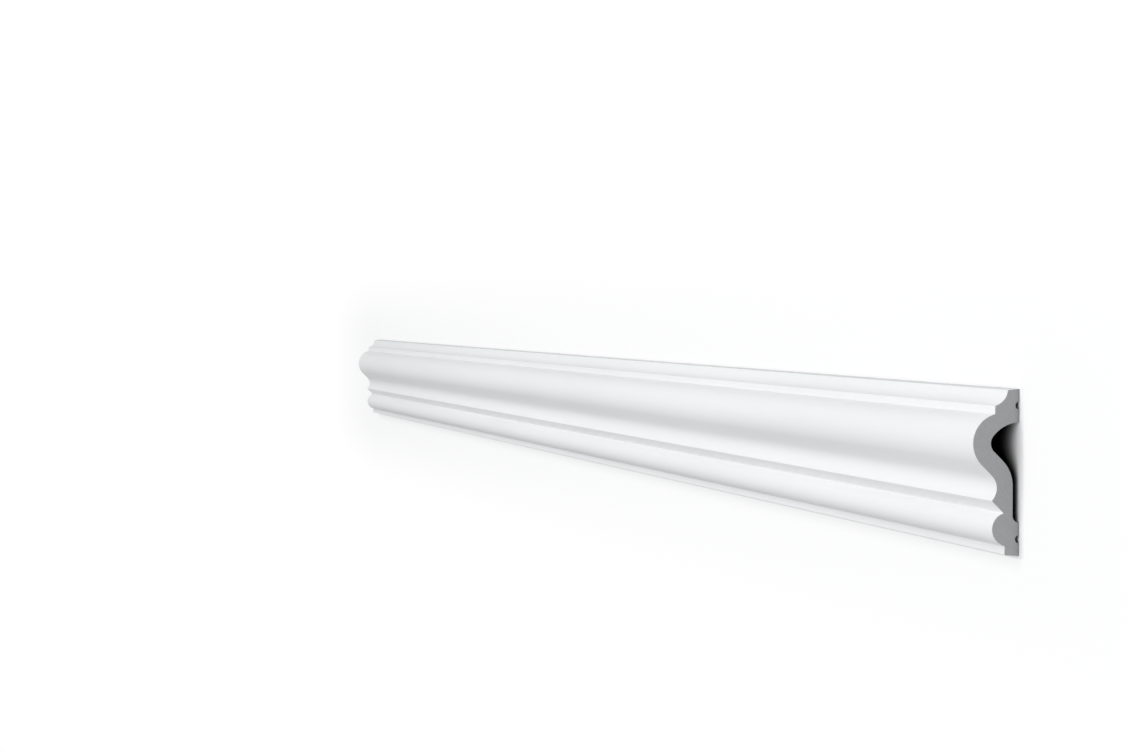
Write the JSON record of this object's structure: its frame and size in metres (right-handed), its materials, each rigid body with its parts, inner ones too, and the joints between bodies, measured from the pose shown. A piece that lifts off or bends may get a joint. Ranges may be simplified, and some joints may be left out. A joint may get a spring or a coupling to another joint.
{
  "type": "wall moulding",
  "caption": "Straight stock length of white wall moulding: cove, flat, S-shaped face and quirked bead, with a hollow back between two flat gluing lands and square sawn ends.",
  "frame": {"origin": "middle of the back plane: half way along the length and half way between the two long edges, on the floor that the length lies on", "axes": "+X along the length, +Y towards the long edge with the cove, +Z out of the face"},
  "size_m": [2, 0.08, 0.0232],
  "materials": {
    "white_polymer": "smooth matt white skin on rigid polymer foam, ready to paint"
  },
  "bodies": {
    "root": {"wall_moulding": "white_polymer"}
  },
  "joints": []
}
